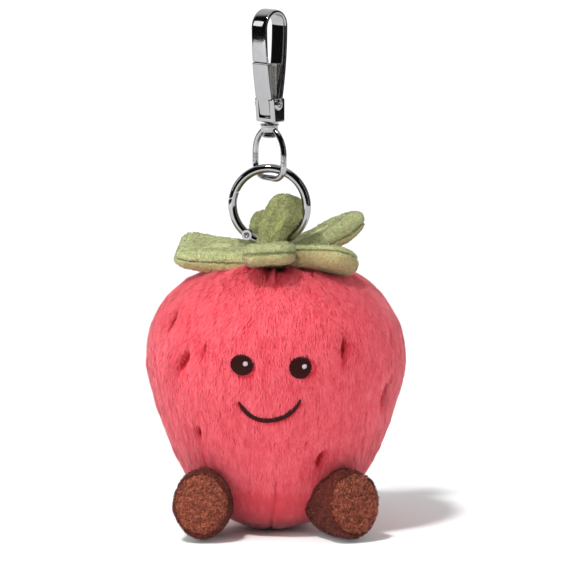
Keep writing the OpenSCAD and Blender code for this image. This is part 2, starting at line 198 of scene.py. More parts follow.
def build(name, verts, faces, material, body, slot):
    """A mesh object from verts in millimetres, and faces as a list of arrays of equal-length rows."""
    faces = [np.asarray(f, np.int32) for f in faces]
    mesh = bpy.data.meshes.new(name)
    mesh.vertices.add(len(verts))
    mesh.vertices.foreach_set("co", (np.asarray(verts, np.float32) * MM).ravel())
    sizes = np.concatenate([np.full(len(f), f.shape[1], np.int32) for f in faces])
    loops = np.concatenate([f.ravel() for f in faces])
    starts = np.concatenate([[0], np.cumsum(sizes)[:-1]]).astype(np.int32)
    mesh.loops.add(len(loops))
    mesh.loops.foreach_set("vertex_index", loops)
    mesh.polygons.add(len(sizes))
    mesh.polygons.foreach_set("loop_start", starts)
    mesh.polygons.foreach_set("use_smooth", np.full(len(sizes), True))
    mesh.update(calc_edges=True)
    mesh.validate()
    mesh.materials.append(material)
    o = link(name, mesh)
    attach(o, body)
    return o


def add_attribute(o, name, values):
    a = o.data.attributes.new(name, "FLOAT", "POINT")
    a.data.foreach_set("value", np.asarray(values, np.float32).ravel())


# ---- materials

class Tree:
    """A short way to write a node tree."""

    def __init__(self, tree):
        self.tree = tree

    def feed(self, socket, value):
        """Links a socket to a socket, or gives it a constant."""
        if isinstance(value, bpy.types.NodeSocket):
            self.tree.links.new(value, socket)
        else:
            socket.default_value = value

    def add(self, kind, inputs=None, **props):
        n = self.tree.nodes.new("ShaderNode" + kind)
        for k, v in props.items():
            setattr(n, k, v)
        for k, v in (inputs or {}).items():
            self.feed(n.inputs[k], v)
        return n

    def ramp(self, fac, stops):
        r = self.add("ValToRGB", {"Fac": fac})
        for i, (at, colour) in enumerate(stops):
            e = r.color_ramp.elements[i] if i < 2 else r.color_ramp.elements.new(at)
            e.position, e.color = at, colour + (1,)
        return r.outputs["Color"]

    def mix(self, fac, a, b, blend="MIX"):
        a, b = (v + (1,) if isinstance(v, tuple) else v for v in (a, b))
        return self.add("Mix", {0: fac, 6: a, 7: b}, data_type="RGBA", blend_type=blend).outputs[2]

    def math(self, op, a, b):
        return self.add("Math", {0: a, 1: b}, operation=op).outputs[0]


class Surface(Tree):
    """A material whose colour and relief come from nodes. Constants go on the shader's own sockets."""

    def __init__(self, name, **principled):
        self.material = bpy.data.materials.new(name)
        self.material.use_nodes = True
        super().__init__(self.material.node_tree)
        self.bsdf = self.tree.nodes["Principled BSDF"]
        for k, v in principled.items():
            self.bsdf.inputs[k.replace("_", " ")].default_value = v

    def where(self, scale=(1, 1, 1)):
        """Object coordinates in millimetres, stretched."""
        c = self.add("TexCoord").outputs["Object"]
        return self.add("Mapping", {"Vector": c, "Scale": [s / MM for s in scale]}).outputs["Vector"]

    def noise(self, vector, scale, detail=2.0, rough=0.55, distortion=0.0):
        return self.add("TexNoise", {"Vector": vector, "Scale": scale, "Detail": detail, "Roughness": rough,
                                     "Distortion": distortion}).outputs["Fac"]

    def attribute(self, name):
        return self.add("Attribute", attribute_name=name).outputs["Fac"]

    def over(self, colour, under):
        """Blends to the colour under, if there is one, by the mesh attribute of that name."""
        return self.mix(self.attribute("under"), colour, under) if under else colour

    def scale(self, fac, low, high):
        return self.add("MapRange", {"Value": fac, "To Min": low, "To Max": high}).outputs["Result"]

    def bump(self, height, strength, distance):
        self.set("Normal", self.add("Bump", {"Height": height, "Strength": strength,
                                             "Distance": distance * MM}).outputs["Normal"])

    def set(self, name, socket):
        self.tree.links.new(socket, self.bsdf.inputs[name])


def metal(name, light, dark, roughness):
    m = Surface(name, Metallic=1.0, Roughness=roughness)
    w = m.where()
    m.set("Base Color", m.mix(m.scale(m.noise(w, 0.5, 4, 0.6), 0.0, 1.0), light, dark))
    fine = m.noise(m.where((1, 1, 0.25)), 9.0, 3, 0.7)
    m.set("Roughness", m.scale(fine, roughness * 0.7, roughness * 1.5))
    m.bump(m.noise(w, 1.3, 3, 0.5), 0.12, 0.06)
    return m.material


def pile(name, root, mid, tip, sheen, tint, roughness=0.75, under=None):
    """Fibres: darker and deeper in colour at the root, with a shade of its own for each fibre."""
    m = Surface(name, Roughness=roughness, Sheen_Weight=sheen, Sheen_Roughness=0.45, Sheen_Tint=tint + (1,),
                Specular_IOR_Level=0.25)
    c = m.ramp(m.attribute("along"), [(0.0, root), (0.45, mid), (1.0, tip)])
    c = m.mix(m.scale(m.attribute("shade"), 0.0, 0.75), c, root)
    c = m.mix(m.scale(m.noise(m.where(), 0.09, 3, 0.5), 0.0, 0.3), c, mid)
    m.set("Base Color", m.over(c, under))
    return m.material


def cloth(name, dark, mid, light, grain, bump, sheen, tint, under=None):
    """Short brushed cloth: colour flecks and a fine raised grain of that size in millimetres."""
    m = Surface(name, Roughness=0.85, Sheen_Weight=sheen, Sheen_Roughness=0.5, Sheen_Tint=tint + (1,),
                Specular_IOR_Level=0.2)
    w = m.where()
    fine = m.noise(w, 1 / grain, 4, 0.65, 0.4)
    c = m.ramp(fine, [(0.3, dark), (0.5, mid), (0.72, light)])
    c = m.mix(m.scale(m.noise(w, 0.12, 3, 0.5), 0.0, 0.5), c, mid)
    m.set("Base Color", m.over(c, under))
    cells = m.add("TexVoronoi", {"Vector": w, "Scale": 1.6 / grain}).outputs["Distance"]
    m.bump(m.math("ADD", m.math("MULTIPLY", cells, 0.6), fine), 0.7, bump)
    return m.material


def thread(name, dark, light, sheen=0.15, roughness=0.45):
    m = Surface(name, Roughness=roughness, Sheen_Weight=sheen, Specular_IOR_Level=0.1)
    m.set("Base Color", m.mix(m.noise(m.where(), 6.0, 3, 0.6), dark, light))
    m.bump(m.noise(m.where((6, 6, 1)), 4.0, 2, 0.5), 0.4, 0.05)
    return m.material


PINK_SHEEN, GREEN_SHEEN = (1.0, 0.6, 0.65), (0.95, 1, 0.8)
BROWN_SHEEN, SOLE_SHEEN = (1, 0.7, 0.6), (1, 0.75, 0.65)
# painted shade with warm bounce light from the fruit, for the leaves' lower layers
LEAF_BOUNCE_SHADE = (0.5, 0.27, 0.13)
PILE = pile("pink_pile", (0.74, 0.014, 0.03), (0.97, 0.088, 0.125), (1.0, 0.25, 0.3), 0.5, (1.0, 0.66, 0.71))
# its last colour, the colour under, is painted shade for the seed hollows
BACKING = cloth("pink_backing", (0.66, 0.025, 0.05), (0.86, 0.065, 0.1), (0.94, 0.12, 0.165),
                0.35, 0.25, 0.3, PINK_SHEEN, (0.42, 0.012, 0.012))
LEAF = cloth("leaf_suede", (0.14, 0.165, 0.05), (0.42, 0.445, 0.2), (0.7, 0.71, 0.43),
             0.6, 0.3, 0.2, GREEN_SHEEN, LEAF_BOUNCE_SHADE)
STEM = cloth("stem_suede", (0.13, 0.15, 0.035), (0.26, 0.28, 0.09), (0.46, 0.48, 0.2),
             0.6, 0.3, 0.15, GREEN_SHEEN, LEAF_BOUNCE_SHADE)
LEAF_FUZZ = pile("leaf_fuzz", (0.15, 0.175, 0.05), (0.55, 0.57, 0.28), (0.95, 0.95, 0.66),
                 0.25, GREEN_SHEEN, 0.8, LEAF_BOUNCE_SHADE)
STEM_FUZZ = pile("stem_fuzz", (0.09, 0.1, 0.025), (0.35, 0.365, 0.155), (0.75, 0.76, 0.44),
                 0.2, GREEN_SHEEN, 0.8, LEAF_BOUNCE_SHADE)
BROWN = cloth("brown_loop_pile", (0.03, 0.007, 0.005), (0.08, 0.014, 0.01), (0.18, 0.04, 0.026),
              0.55, 0.35, 0.03, BROWN_SHEEN)
BROWN_FUZZ = pile("brown_fuzz", (0.04, 0.006, 0.004), (0.15, 0.022, 0.014), (0.42, 0.085, 0.045),
                  0.1, BROWN_SHEEN)
SOLE = cloth("sole_loop_pile", (0.06, 0.014, 0.008), (0.17, 0.044, 0.026), (0.36, 0.115, 0.07),
             0.55, 0.35, 0.04, SOLE_SHEEN)
SOLE_FUZZ = pile("sole_fuzz", (0.05, 0.008, 0.004), (0.34, 0.072, 0.038), (1.0, 0.33, 0.2),
                 0.12, SOLE_SHEEN)
TAPE = cloth("woven_tape", (0.3, 0.01, 0.02), (0.5, 0.02, 0.035), (0.66, 0.05, 0.07),
             0.3, 0.12, 0.1, (1, 0.6, 0.6))
EYE = thread("eye_thread", (0.008, 0.0018, 0.0015), (0.045, 0.0075, 0.006), 0.0, 0.4)
GLINT = thread("glint_thread", (0.36, 0.28, 0.36), (0.62, 0.54, 0.65))
MOUTH = thread("mouth_thread", (0.014, 0.004, 0.004), (0.06, 0.012, 0.012), 0.0, 0.4)
SEED = thread("seed_thread", (0.24, 0.008, 0.006), (0.46, 0.02, 0.016), 0.05)
GUNMETAL = metal("gunmetal_plating", (0.4, 0.39, 0.395), (0.33, 0.325, 0.335), 0.05)
STEEL = metal("spring_steel", (0.62, 0.6, 0.57), (0.4, 0.39, 0.38), 0.2)


# ---- the fruit's surface

# Angle from the front in degrees, height, length, width, slant in degrees, depth
SEEDS = [
    (-59, -105, 4.6, 1.6, -4, 1.7), (-46, -118, 9.6, 2.4, 34, 3.2), (-33.5, -112.8, 4.2, 1.5, 10, 0.6),
    (-43, -143.2, 4.8, 1.8, 16, 2.2), (33, -112.6, 7.8, 2.2, 14, 2.9), (62, -131.5, 8.6, 2.4, 4, 2.7),
    (26, -152.6, 7.4, 2.3, 12, 2.8),
]
# Those round the sides and back are alike
for angle, height, slant in ((100, -108, 10), (128, -135, -12), (160, -112, 8), (178, -150, -6),
                             (-162, -128, 12), (-130, -106, -10), (-104, -137, 6)):
    SEEDS.append((angle, height, 7, 2, slant, 2.4))

# The smile: middle of its circle across and up, and its radius
SMILE_X, SMILE_Z, SMILE_R = -2.15, -125.7, 11.7


def profile(n):
    """Half outline of the fruit from the top's middle to the base's: radius and height, evenly spaced."""
    a = np.linspace(1, 0, 900)
    up = points(FRUIT_R * (1 - a**2.25) ** (1 / 2.25), WIDEST_Z + (SHOULDER_Z - WIDEST_Z) * a)
    b = 1 - np.linspace(1, 0, 1500) ** 2.2
    low = points(FRUIT_R * (1 - b**1.4) ** 0.43, WIDEST_Z + (BASE_Z - WIDEST_Z) * b)[1:]
    p = np.concatenate([up, low])
    p[:, 1] -= 3.2 * np.exp(-((p[:, 0] / 8) ** 2)) * (p[:, 1] > WIDEST_Z)
    s = arc_length(p)
    return resample(p, s, np.linspace(0, s[-1], n))


PROFILE = profile(600)
PROFILE_T = np.linspace(0, 1, len(PROFILE))


def radius_at(t):
    return np.interp(t, PROFILE_T, PROFILE[:, 0])


def at_height(z):
    """The place t of a height below the shoulder, and the radius there."""
    top = PROFILE[:, 1].argmax()
    t = np.interp(-z, -PROFILE[top:, 1], PROFILE_T[top:])
    return t, radius_at(t)


def off_angle(angle, other):
    """How far round an angle is from one in degrees, from -pi to pi."""
    return (angle - radians(other) + pi) % (2 * pi) - pi


def fruit_raw(angle, t):
    """Smooth surface points, at angles from the front and t from 0 at the top to 1 at the base."""
    r, z = radius_at(t), np.interp(t, PROFILE_T, PROFILE[:, 1])
    return points(FRUIT_X + r * np.sin(angle), FRUIT_Y - FRUIT_DEPTH * r * np.cos(angle), z)


def fruit_frame(angle, t):
    """Point, outward normal, direction down the pile, and direction round, on the smooth surface."""
    e = 1e-3
    down = unit(fruit_raw(angle, np.minimum(t + e, 1)) - fruit_raw(angle, np.maximum(t - e, 0)))
    round_ = unit(points(np.cos(angle), FRUIT_DEPTH * np.sin(angle), 0))
    return fruit_raw(angle, t), unit(np.cross(down, round_)), down, round_


def seed_field(p, angle):
    """How deep the seeds' hollows are at a point, and how far a point is inside one, from 0 to 1."""
    depth, inside = np.zeros(angle.shape), np.zeros(angle.shape)
    for a, z, length, width, slant, d in SEEDS:
        turn = off_angle(angle, a)
        r = np.interp(-z, -PROFILE[:, 1], PROFILE[:, 0])
        x, y = turn * r, (p[..., 2] - z) * 1.02
        s, c = sin(radians(slant)), cos(radians(slant))
        u, v = x * c - y * s, x * s + y * c
        near = (np.abs(turn) < 0.9) * 1.0
        core = np.exp(-((u / (width * 0.55)) ** 2) - (np.abs(v) / (length * 0.48)) ** 2.6) * near
        wide = np.exp(-((u / (width * 2.3)) ** 2) - ((v / (length * 0.85)) ** 2)) * near
        depth += d * (0.62 * core + 0.38 * wide)
        inside = np.maximum(inside, core + 0.25 * wide)
    return depth, np.clip(inside, 0, 1)


def fruit_surface(angle, t, inset):
    """The sculpted surface, moved in by inset: hollows, seams, the gathers under the cap and soft lumps.

    Returns its points, the smooth surface's directions, and how far in a hollow or a seam each point is.
    """
    p, n, down, round_ = fruit_frame(angle, t)
    x, z = p[..., 0], p[..., 2]
    front = np.cos(angle) > 0.2
    move = -inset + 0.55 * noise(p, 17, 1) + 0.22 * noise(p, 7, 2)
    depth, inside = seed_field(p, angle)
    move -= depth
    r = np.hypot(x - FRUIT_X, (p[..., 1] - FRUIT_Y) / FRUIT_DEPTH)
    # gathers that run out from under the leaf cap
    upper = z > WIDEST_Z
    move += smooth(30, 15, r) * upper * 0.55 * np.cos(angle * 17 + 1.2 * noise(p, 9, 3))
    middle = np.exp(-((angle * np.maximum(r, 6) / 2.6) ** 2)) * smooth(33, 17, r) * upper
    move -= 1.1 * middle
    # dart at the bottom of the front, and the side seams
    dart_x = 2.2 + 0.03 * (z + 160) - 1.1 * smooth(-166, -178, z)
    dart = np.exp(-(((x - dart_x) / 0.75) ** 2)) * smooth(-157, -162, z) * front
    move -= 0.5 * dart
    for seam, seam_depth in ((65, 0.15), (-65, 0.15), (180, 0.5)):
        move -= seam_depth * np.exp(-((off_angle(angle, seam) * r / 0.9) ** 2)) * smooth(10, 22, r)
    # the eyes and the smile's ends press the pile in a little
    fx = (x - FRUIT_X) * cos(FACE_YAW)
    for ex in (-EYE_GAP / 2, EYE_GAP / 2):
        move -= 0.8 * np.exp(-((fx - ex) ** 2 + (z - EYE_Z) ** 2) / 26) * front
    for ex in (-11.0, 10.6):
        move -= 0.7 * np.exp(-((fx - ex) ** 2 + (z + 131.0) ** 2) / 9) * front
    return p + n * move[..., None], n, down, round_, np.clip(inside + 0.7 * middle + 0.45 * dart, 0, 1)


PILE_INSET = 0.75


def fruit_cover():
    """The plush's backing, which shows between the fibres."""
    a, t = np.meshgrid(around(330), np.linspace(0, 1, 262), indexing="ij")
    P, n, *_ = fruit_surface(a, t, PILE_INSET)
    P += n * (0.12 * noise(P, 0.9, 5))[..., None]
    o = build("fruit_cover", *closed_grid(P), BACKING, "plush", "pink_plush")
    # painted shade: the backing darkens to its colour under in the seed hollows
    seed_hollow_shade = smooth(0.25, 0.7, seed_field(P, a)[1])
    add_attribute(o, "under", np.concatenate([seed_hollow_shade[:, 1:-1].ravel(), [0, 0]]))
    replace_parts(o, "body_front_panel", "body_back_left_panel", "body_back_right_panel", "body_stuffing")


def strands(name, roots, normals, down, side, length, height, width, sway, material, slot, shade, under=None):
    """Fibres as tapered strips of two faces, leaning over from their roots and swayed at their tips."""
    n = len(roots)
    lean = down * length[:, None] + side * sway[:, None]
    mid = roots + lean * 0.42 + normals * (height * 0.8)[:, None]
    tip = roots + lean + normals * height[:, None]
    w = side * (width / 2)[:, None]
    V = np.stack([roots - w, roots + w, mid - w * 0.85, mid + w * 0.85, tip], 1)
    base = np.arange(n)[:, None] * 5
    o = build(name, V.reshape(-1, 3), [base + [[0, 1, 3, 2]], base + [[2, 3, 4]]], material, "plush", slot)
    add_attribute(o, "along", np.tile([0, 0, 0.5, 0.5, 1], n))
    add_attribute(o, "shade", np.repeat(shade, 5))
    if under is not None:
        add_attribute(o, "under", np.repeat(under, 5))
    tilt = unit(normals + down * 0.25 + side * rng.normal(0, 0.22, n)[:, None])
    o.data.normals_split_custom_set_from_vertices(np.repeat(tilt, 5, 0))


def fuzz(name, verts, faces, count, length, height, width, material, slot, under=None):
    """Short fibres in every direction over a surface of quads. under holds a value for each vertex."""
    q = faces[0]
    a, b, c, d = (verts[q[:, i]] for i in range(4))
    area = np.cross(c - a, d - b)
    weight = np.linalg.norm(area, axis=1)
    pick = rng.choice(len(q), count, p=weight / weight.sum())
    u, v = rng.uniform(0, 1, (2, count, 1))
    roots = (a[pick] * (1 - u) + b[pick] * u) * (1 - v) + (d[pick] * (1 - u) + c[pick] * u) * v
    normals = unit(area[pick])
    down = unit(np.cross(normals, rng.normal(0, 1, (count, 3))))
    spread = rng.uniform(0.6, 1.3, count)
    clump = noise(roots, 0.62, 71)
    shade = np.clip(0.38 - 1.7 * clump + rng.normal(0, 0.3, count), 0, 1.35)
    height = height * spread[::-1] * np.clip(1 + 0.6 * clump, 0.4, 1.5)
    strands(name, roots, normals, down, np.cross(down, normals), length * spread, height, width * spread,
            np.zeros(count), material, slot, shade, None if under is None else under[q[pick, 0]])


def streaks(a, t):
    """Long thin streaks down the pile, from about -1 to 1, at angles a and places t of the surface."""
    s = t * 108
    wander = 1.6 * noise(points(a * 20, s, 0), 11, 64)
    x = a * np.maximum(radius_at(t), 12) + wander
    fine = noise(points(x, s * 0.2, 0), 0.5, 61)
    broad = noise(points(x, s * 0.25, 5), 1.7, 62)
    return 0.75 * fine + 0.3 * broad


def bare(p, a):
    """Where no pile grows: under the eyes, the smile and the leaf cap."""
    x, z = p[:, 0] - FRUIT_X, p[:, 2]
    front = np.cos(a) > 0.3
    fx = x * cos(FACE_YAW) + 0.6
    under_cap = (np.hypot(x, p[:, 1] - FRUIT_Y) < 9) & (z > -100)
    to_smile = np.abs(np.hypot(x - SMILE_X, z - SMILE_Z - 0.8) - SMILE_R)
    found = under_cap | (to_smile < 0.8) & (z < SMILE_Z - 3.6) & front
    for ex in (-EYE_GAP / 2, EYE_GAP / 2):
        found |= ((fx - ex - 0.4) ** 2 + ((z - EYE_Z - 1.2) / 1.12) ** 2 < 3.7**2) & front
    return found


def fruit_pile(name, a0, a1, count):
    """Pile over the fruit between two angles from the front, in degrees."""
    area = np.cumsum(PROFILE[:, 0] + 0.2)
    t = np.interp(rng.uniform(0.002, 0.998, count), area / area[-1], PROFILE_T)
    a = np.radians(rng.uniform(a0, a1, count))
    p, n, down, round_, inside = fruit_surface(a, t, PILE_INSET)
    thin = 0.85 * smooth(0.45, 0.85, seed_field(p, a)[1])
    keep = ~bare(p, a) & (rng.uniform(0, 1, count) > thin)
    p, n, down, round_, inside, a, t = (v[keep] for v in (p, n, down, round_, inside, a, t))
    count = len(p)
    turn = 0.4 * noise(p, 13, 6) + 0.22 * noise(p, 4, 7) + rng.normal(0, 0.12, count)
    flow = unit(down * np.cos(turn)[:, None] + round_ * np.sin(turn)[:, None])
    side = np.cross(flow, n)
    # fibres lean sideways into the streak beside them
    e = 0.004
    across = (streaks(a + e, t) - streaks(a - e, t)) / (2 * e * 40)
    # clump sets the fibres' length and height by streak; in their colour it gives each streak its own tone and
    # also paints shade into the gaps between tufts and light onto the tufts
    clump = 0.7 * streaks(a, t) + 0.3 * noise(p, 2.7, 9)
    # they are short in a hollow and just above one
    sunk = np.maximum(inside, seed_field(p + flow * 1.8, a)[1])
    length = (2.6 + 0.7 * clump + rng.normal(0, 0.35, count)) * (1 - 0.72 * sunk)
    height = (0.95 + 0.55 * clump + rng.normal(0, 0.13, count)) * (1 - 0.75 * sunk)
    width = rng.uniform(0.13, 0.26, count)
    sway = -np.clip(across * 0.35, -0.5, 0.5) * (side * round_).sum(-1)
    # painted shade: the pile is darker and deeper in colour towards the base
    low = 0.8 * smooth(-158, -169, p[:, 2])
    # painted shade: by inside, fibres darken in the seeds' hollows, in the gathers under the cap and along the
    # dart
    shade = np.clip(0.3 - 0.75 * clump + rng.normal(0, 0.18, count) + 1.2 * inside + low, 0, 1.3)
    strands(name, p, n, flow, side, np.maximum(length, 0.6), np.maximum(height, 0.2), width, sway,
            PILE, "pink_plush", shade)


fruit_cover()
PILE_FIBRES = 62000
for name, a0, a1 in (("front_left", -65, 0), ("front_right", 0, 65), ("side_left", -125, -65),
                     ("side_right", 65, 125), ("back", 125, 235)):
    fruit_pile("pile_" + name, a0, a1, PILE_FIBRES)


# ---- stitched face and seeds

def on_fruit(x, z, lift):
    """Points of the front, x across from the fruit's middle and z up, raised from the pile's surface."""
    t, r = at_height(z)
    p, n, *_ = fruit_surface(np.arcsin(np.clip(x / r, -1, 1)), t, 0.0)
    return p + n * lift[..., None]


def stitches(node, rows, radius, sides, material, slot):
    """Threads along rows of points, as one piece that stands for a CAD node."""
    threads = join_parts([tube(row, radius, sides, (0, 1, 0)) for row in rows])
    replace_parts(build(node + "_embroidery", *threads, material, "plush", slot), node)


def disc_rows(cx, cz, rx, rz, pitch, lift, crown, slant):
    """Rows of thread that fill an ellipse."""
    rows = []
    c, s = cos(slant), sin(slant)
    for q in np.arange(-1 + pitch / rx / 2, 1, pitch / rx):
        half = sqrt(max(0.0, 1 - q * q))
        v = np.linspace(-half, half, 13)
        x, z = q * rx * c - v * rz * s, q * rx * s + v * rz * c
        edge = 1 - (q * q + v * v)
        # the ends of each thread dive into the pile
        h = lift + crown * np.sqrt(np.clip(edge, 0, 1)) - 0.9 * (edge < 0.02)
        rows.append(on_fruit(cx + x, cz + z, h))
    return rows


# Middle across and up, half width and half height of each eye
EYES = {"left": (-11.7, -117.5, 3.75, 3.7), "right": (8.5, -118.4, 3.75, 3.95)}

for side, (ex, ez, rx, rz) in EYES.items():
    rows = disc_rows(ex, ez, rx, rz, pitch=0.36, lift=0.45, crown=0.6, slant=0.0)
    stitches("eye_" + side, rows, 0.27, 7, EYE, "eye_thread")
    rows = disc_rows(ex + 1.2, ez + 0.35, 1.0, 1.0, pitch=0.3, lift=0.92, crown=0.25, slant=0.6)
    stitches("eye_glint_" + side, rows, 0.2, 7, GLINT, "glint_thread")


def mouth():
    """A smile in satin stitch: short threads side by side across an arc."""
    rows = []
    s = np.linspace(-1, 1, 7)
    for q in np.linspace(-1, 1, 78):
        a = q * radians(66)
        half = 0.74 * (1 - abs(q) ** 4) + 0.16
        across = SMILE_R * sin(a)
        x, z = SMILE_X + across, SMILE_Z - SMILE_R * cos(a) + 0.06 * across
        dx, dz = sin(a + 0.35) * half, -cos(a + 0.35) * half
        h = -0.1 + 0.8 * np.sqrt(np.clip(1 - s * s, 0, 1))
        rows.append(on_fruit(x + dx * s, z + dz * s, h))
    stitches("mouth", rows, 0.2, 6, MOUTH, "mouth_thread")


def seeds():
    """Five threads along the bottom of each hollow. The faint seed has none."""
    rows = []
    for a, z, length, _, slant, depth in SEEDS:
        if depth < 1:
            continue
        for off in (-0.5, -0.25, 0.0, 0.25, 0.5):
            s = np.linspace(-0.4, 0.4, 9) * length * (1 - abs(off) * 0.7)
            t, r = at_height(z + s * cos(radians(slant)))
            dx = s * sin(radians(slant)) + off
            rows.append(fruit_surface(radians(a) + dx / r, t, 0.9)[0])
    threads = join_parts([tube(row, 0.17, 6, (0.3, 0.5, 1)) for row in rows])
    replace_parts(build("seed_embroidery", *threads, SEED, "plush", "seed_thread"), "seed_stitches")


mouth()
seeds()


# ---- feet

# Middle of the sole across and forward, turn in degrees, half width, half height
FEET = {"foot_left": (-24, -32, -7, 9.7, 11.7), "foot_right": (30.2, -31, 29, 9.9, 11.7)}
FOOT_L, FOOT_RISE = 20.0, 6.5
FOOT_FIBRES = 5500
# Half outlines: share of the foot's radius, and distance along the foot
SLEEVE_LINE = [
    (0, -7), (0.45, -6.2), (0.75, -3.5), (0.9, 0.5), (0.98, 6), (1, 11), (1.01, 15), (1, 17),
    (0.975, 18.4), (0.935, 19.35), (0.905, 19.5), (0.885, 19.1), (0.87, 18.2), (0.86, 17.6), (0, 17.4),
]
SOLE_LINE = [
    (0, 20.7), (0.42, 20.6), (0.69, 20.3), (0.835, 19.85), (0.905, 19.3), (0.925, 18.5), (0.9, 17.7),
    (0, 17.5),
]


def foot_matrix(x, y, turn):
    back = FOOT_L * cos(radians(FOOT_RISE))
    a = radians(turn)
    at = Matrix.Translation((x - back * sin(a), y + back * cos(a), SEAT_Z + 11.6))
    return np.array(at @ Matrix.Rotation(a, 4, "Z") @ Matrix.Rotation(radians(90 - FOOT_RISE), 4, "X"))


def foot_shell(outline, steps, half_w, half_h):
    """A softened half outline turned round the foot's axis: its points, their angles and radius shares."""
    o = np.array(outline)
    s = arc_length(o * [11, 1])
    line = resample(o, s, np.linspace(0, s[-1], steps))
    soften(line, 3)
    A, R = np.meshgrid(around(210), line[:, 0], indexing="ij")
    return points(np.cos(A) * R * half_w, np.sin(A) * R * half_h, line[:, 1]), A, R


def foot(name, x, y, turn, half_w, half_h):
    m = foot_matrix(x, y, turn)
    P, A, R = foot_shell(SLEEVE_LINE, 130, half_w, half_h)
    n = unit(points(np.cos(A), np.sin(A), smooth(17, 20, P[..., 2])))
    fine = 0.3 * noise(P, 1.0, 21) + 0.2 * noise(P, 0.55, 22) + 0.5 * noise(P, 6, 23)
    W = place(P + n * (fine * smooth(0, 0.05, R))[..., None], m)
    # flat where it rests on the table
    W[..., 2] = np.maximum(W[..., 2], SEAT_Z + 0.02)
    grid = closed_grid(W)
    sleeve = build(f"{name}_sleeve_pile", *grid, BROWN, "plush", "brown_fabric")
    fuzz(f"{name}_sleeve_fuzz", *grid, FOOT_FIBRES * 3, 0.75, 0.4, 0.2, BROWN_FUZZ, "brown_fabric")
    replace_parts(sleeve, f"{name}_sleeve", f"{name}_stuffing")
    # sole: a crowned disc set into the sleeve's end
    P, A, R = foot_shell(SOLE_LINE, 90, half_w, half_h * 0.97)
    rough = 0.5 * noise(P, 0.9, 31) + 0.3 * noise(P, 0.5, 32) + 0.3 * noise(P, 5, 33)
    P[..., 2] += (P[..., 2] > 18) * rough
    grid = closed_grid(place(P, m), flip=True)
    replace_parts(build(f"{name}_sole_pile", *grid, SOLE, "plush", "sole_fabric"), f"{name}_sole")
    fuzz(f"{name}_sole_fuzz", *grid, FOOT_FIBRES * 2, 0.7, 0.35, 0.2, SOLE_FUZZ, "sole_fabric")


for name, spec in FEET.items():
    foot(name, *spec)


# ---- leaves

def pillow(length, width, thick, corner, seed, seam=0.0, flare=0.0, taper=0.0):
    """A stuffed leaf in its own frame: x from 0 at its root to its tip, y across, z through.

    Two layers meet in a seam. It widens by flare and thins by taper towards its tip.
    Returns its points and how far each is on the lower layer.
    """
    k = around(230)
    c, s = np.cos(k), np.sin(k)
    R = (np.abs(c / (length / 2)) ** corner + np.abs(s / (width / 2)) ** corner) ** (-1 / corner)
    f = np.linspace(pi / 2, -pi / 2, 96)
    f = f - 0.22 * np.sin(2 * f)
    rho, z = np.abs(np.cos(f)) ** 0.5, power(np.sin(f), 1 / 1.2) * thick / 2
    groove = 0.85 * np.exp(-(((z - seam) / 0.32) ** 2)) + 0.2 * np.exp(-(((z - seam) / 1.3) ** 2))
    rho = rho - groove / (min(length, width) / 2)
    A, Q = np.meshgrid(k, rho, indexing="ij")
    X = length / 2 + Q * R[:, None] * np.cos(A)
    along = X / length
    Y = Q * R[:, None] * np.sin(A) * (1 + flare * (along - 0.5))
    Z = z * (0.86 + 0.14 * smooth(0.35, 0.8, Q)) * (1 - taper * along)
    # puckers along the seam, and lumps
    P = points(X, Y, Z)
    pucker = np.sin(A * (length + width) * 0.42 + 2 * noise(P, 5, seed)) * np.clip(Q, 0, 1) ** 6
    P[..., 2] += np.sign(Z) * (0.18 * pucker + 0.35 * noise(P, 7, seed + 1) + 0.13 * noise(P, 2.6, seed + 2))
    # the cloth's own roughness
    n = unit(points(np.cos(A) * Q**4, np.sin(A) * Q**4, np.sign(P[..., 2]) * (1.02 - Q**4)))
    P += n * (0.12 * noise(P, 0.8, seed + 3) + 0.06 * noise(P, 0.4, seed + 4))[..., None]
    return P, smooth(0.6, -1.6, z - seam + 0.8 * noise(P, 3, seed + 5))


def bend_leaf(P, length, rise, droop, cup, roll, twist):
    """Curves a leaf along its length: it leaves at rise degrees, and turns by droop and twists on its way."""
    x, y, z = P[..., 0], P[..., 1], P[..., 2]
    z = z + cup * (y / 10) ** 2
    s = np.linspace(0, length * 1.1, 200)
    a = np.radians(rise + droop * s / length)
    slope = points(np.cos(a), np.sin(a))
    step = (slope[1:] + slope[:-1]) / 2 * np.diff(s)[:, None]
    cx, cz = np.concatenate([[[0, 0]], np.cumsum(step, axis=0)]).T
    r = np.radians(roll + twist * x / length)
    y2, z2 = y * np.cos(r) - z * np.sin(r), y * np.sin(r) + z * np.cos(r)
    here = np.interp(x, s, a)
    return points(np.interp(x, s, cx) - np.sin(here) * z2, y2, np.interp(x, s, cz) + np.cos(here) * z2)


# place: turn, root distance, root height; size: length, width, thickness, corner;
# bend: rise, droop, cup, roll, twist; shape: seam height, flare, taper;
# how much painted shade and warm bounce light its lower layer gets; material of its cloth and of its fuzz
LEAVES = {
    "leaf_left": (
        (173, 4, -87), (30, 21, 11.4, 6.5), (2, 9, 0.5, -3, -14), (0.7, 0, 0.3), 0.3, LEAF, LEAF_FUZZ),
    "leaf_front": (
        (266, 6, -84.4), (24, 18.4, 8.2, 3.2), (12, -4, 0.1, 4, 0), (0.1, 0, 0), 0.35, LEAF, LEAF_FUZZ),
    "leaf_right_front": (
        (-27, 6, -86.6), (26.2, 17, 9, 2.7), (6, -4, -0.2, -24, 0), (1.4, 0.05, 0), 0.4, LEAF, LEAF_FUZZ),
    "leaf_right_back": (
        (36, 4, -86.5), (36.5, 15.5, 8.4, 2.2), (13, 12, 0.2, -8, 0), (-1.2, 0.2, 0), 0.3, LEAF, LEAF_FUZZ),
    "leaf_back": (
        (93, 6, -86.5), (20, 15, 7.4, 3), (38, 10, 0.1, 0, 0), (0, 0, 0), 0, STEM, STEM_FUZZ),
}
